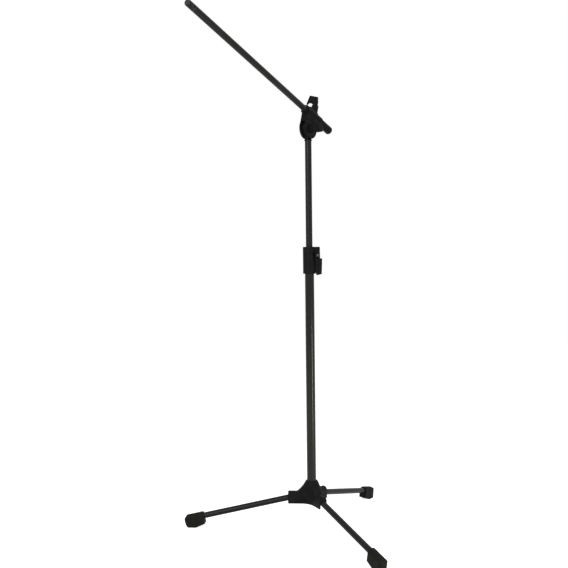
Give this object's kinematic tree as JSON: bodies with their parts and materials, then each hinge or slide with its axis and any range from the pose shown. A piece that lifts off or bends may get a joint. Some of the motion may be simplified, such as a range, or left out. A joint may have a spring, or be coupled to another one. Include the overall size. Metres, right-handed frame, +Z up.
{
  "type": "boom microphone stand",
  "caption": "Floor stand with a folding tripod base, a telescoping mast locked by a cam lever, and a tilting, sliding boom arm that carries a microphone on a threaded stud.",
  "frame": {"origin": "on the floor, on the axis of the mast", "axes": "+Z up along the mast; +X towards the boom's microphone end; +Y across, towards the tilt knob"},
  "size_m": [0.844, 0.6154, 1.2887],
  "materials": {
    "hub_plastic": "moulded black, fine grain",
    "clutch_plastic": "moulded black, satin",
    "head_plastic": "moulded black, fine grain",
    "knob_plastic": "moulded black, satin",
    "lower_tube_paint": "gloss black",
    "upper_tube_paint": "satin black",
    "boom_paint": "satin black",
    "leg_paint": "satin black",
    "boot_rubber": "matt black rubber",
    "hardware_steel": "black zinc plated",
    "stud_black": "black oxide",
    "brass": "machined",
    "nylon": "natural nylon",
    "friction_pad": "pressed fibre"
  },
  "bodies": {
    "base": {"base_hub": "hub_plastic", "column_screw": "hardware_steel", "lower_tube": "lower_tube_paint", "lower_tube_plug": "nylon", "leg_pivot_pins": "hardware_steel", "clutch_body": "clutch_plastic", "clutch_liner": "nylon", "clutch_bolt": "hardware_steel", "clutch_washer": "hardware_steel", "clutch_nut": "hardware_steel", "clutch_pin": "hardware_steel"},
    "leg_1": {"leg_tube_1": "leg_paint", "leg_plug_1": "nylon", "leg_boot_1": "boot_rubber"},
    "leg_2": {"leg_tube_2": "leg_paint", "leg_plug_2": "nylon", "leg_boot_2": "boot_rubber"},
    "leg_3": {"leg_tube_3": "leg_paint", "leg_plug_3": "nylon", "leg_boot_3": "boot_rubber"},
    "lever": {"clutch_lever": "clutch_plastic"},
    "mast_guide": {"upper_tube_guide": "nylon"},
    "mast_top": {"upper_tube": "upper_tube_paint", "head_tongue": "head_plastic", "tongue_pin": "hardware_steel"},
    "head": {"head_body": "head_plastic", "friction_washers": "friction_pad", "tilt_bolt": "hardware_steel", "tilt_washer": "hardware_steel", "lock_insert": "brass", "lock_shoe": "friction_pad"},
    "tilt_knob": {"tilt_knob": "knob_plastic", "tilt_knob_insert": "brass"},
    "boom_lock": {"boom_knob": "knob_plastic", "lock_screw": "hardware_steel"},
    "boom": {"boom_tube": "boom_paint", "boom_tail_cap": "knob_plastic", "mic_stud": "stud_black"}
  },
  "joints": [
    {"name": "leg_1_fold", "type": "hinge", "parent": "base", "child": "leg_1", "pos_m": [0.022, 0.0381, 0.08747], "axis": [-0.866, 0.5, 0], "range_deg": [0, 75]},
    {"name": "leg_2_fold", "type": "hinge", "parent": "base", "child": "leg_2", "pos_m": [-0.044, 0, 0.08747], "axis": [0, -1, 0], "range_deg": [0, 75]},
    {"name": "leg_3_fold", "type": "hinge", "parent": "base", "child": "leg_3", "pos_m": [0.022, -0.0381, 0.08747], "axis": [0.866, 0.5, 0], "range_deg": [0, 75]},
    {"name": "clutch_lever_turn", "type": "hinge", "parent": "base", "child": "lever", "pos_m": [0.00193, 0.02825, 0.742], "axis": [0.5, -0.866, 0], "range_deg": [0, 100]},
    {"name": "mast_slide", "type": "slide", "parent": "base", "child": "mast_guide", "axis": [0, 0, 1], "range_m": [-0.28, 0.22]},
    {"name": "mast_swivel", "type": "hinge", "parent": "mast_guide", "child": "mast_top", "pos_m": [0, 0, 0.75], "axis": [0, 0, 1], "continuous": true},
    {"name": "boom_tilt", "type": "hinge", "parent": "mast_top", "child": "head", "pos_m": [0, 0, 1.0885], "axis": [0, 1, 0], "range_deg": [-73, 106]},
    {"name": "tilt_knob_turn", "type": "hinge", "parent": "head", "child": "tilt_knob", "pos_m": [0, 0.02, 1.0885], "axis": [0, 1, 0], "range_deg": [0, 360]},
    {"name": "boom_lock_turn", "type": "hinge", "parent": "head", "child": "boom_lock", "pos_m": [-0.03843, 0, 1.15791], "axis": [-0.2857, 0, 0.9583], "range_deg": [0, 360]},
    {"name": "boom_slide", "type": "slide", "parent": "head", "child": "boom", "axis": [0.9583, 0, 0.2857], "range_m": [-0.44, 0.004]}
  ]
}
